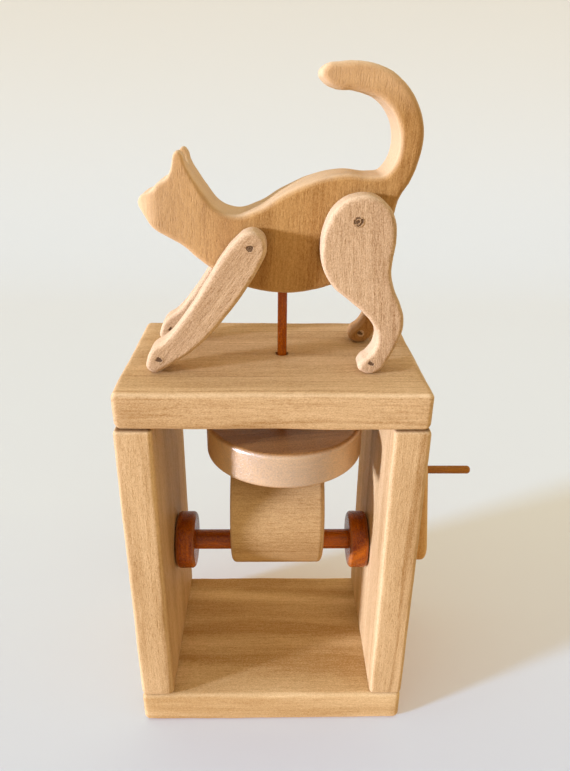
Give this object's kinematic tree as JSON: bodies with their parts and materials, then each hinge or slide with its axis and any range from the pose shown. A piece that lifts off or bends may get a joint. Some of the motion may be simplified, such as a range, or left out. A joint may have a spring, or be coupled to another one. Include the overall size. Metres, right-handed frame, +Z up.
{
  "type": "hand-cranked wooden automaton",
  "caption": "Wooden cat on a small open box: turning the side crank spins an off-centre drum that lifts the cat on its rod while its pinned legs swing.",
  "frame": {"origin": "centre of the box's underside, on the surface that it stands on", "axes": "+Z up, +X towards the crank, -Y towards the open side that the cat shows its near flank to"},
  "size_m": [0.1331, 0.0684, 0.2409],
  "materials": {
    "oiled_board": "oiled",
    "pale_wood": "waxed satin",
    "dark_wood": "dark oiled"
  },
  "bodies": {
    "box": {"base_board": "oiled_board", "left_wall": "oiled_board", "right_wall": "oiled_board", "top_board": "oiled_board", "base_joint_dowels": "pale_wood", "top_joint_dowels": "pale_wood"},
    "crankshaft": {"axle": "dark_wood", "left_collar": "dark_wood", "right_collar": "dark_wood", "drum_cam": "pale_wood", "crank_arm": "oiled_board", "crank_handle": "dark_wood"},
    "follower": {"follower_disc": "pale_wood", "push_rod": "dark_wood", "cat_body": "oiled_board"},
    "front_legs": {"shoulder_pin": "dark_wood", "near_front_leg": "pale_wood", "far_front_leg": "pale_wood", "front_paw_pins": "dark_wood"},
    "hind_legs": {"hip_pin": "dark_wood", "near_hind_leg": "pale_wood", "far_hind_leg": "pale_wood", "hind_paw_pins": "dark_wood"}
  },
  "joints": [
    {"name": "crank_spin", "type": "hinge", "parent": "box", "child": "crankshaft", "pos_m": [0, 0, 0.0641], "axis": [1, 0, 0], "continuous": true},
    {"name": "follower_lift", "type": "slide", "parent": "box", "child": "follower", "axis": [0, 0, 1], "range_m": [0, 0.0118]},
    {"name": "shoulder_swing", "type": "hinge", "parent": "follower", "child": "front_legs", "pos_m": [-0.0073, 0, 0.1887], "axis": [0, 1, 0], "range_deg": [0, 150]},
    {"name": "hip_swing", "type": "hinge", "parent": "follower", "child": "hind_legs", "pos_m": [0.0255, 0, 0.1971], "axis": [0, -1, 0], "range_deg": [0, 110]}
  ]
}
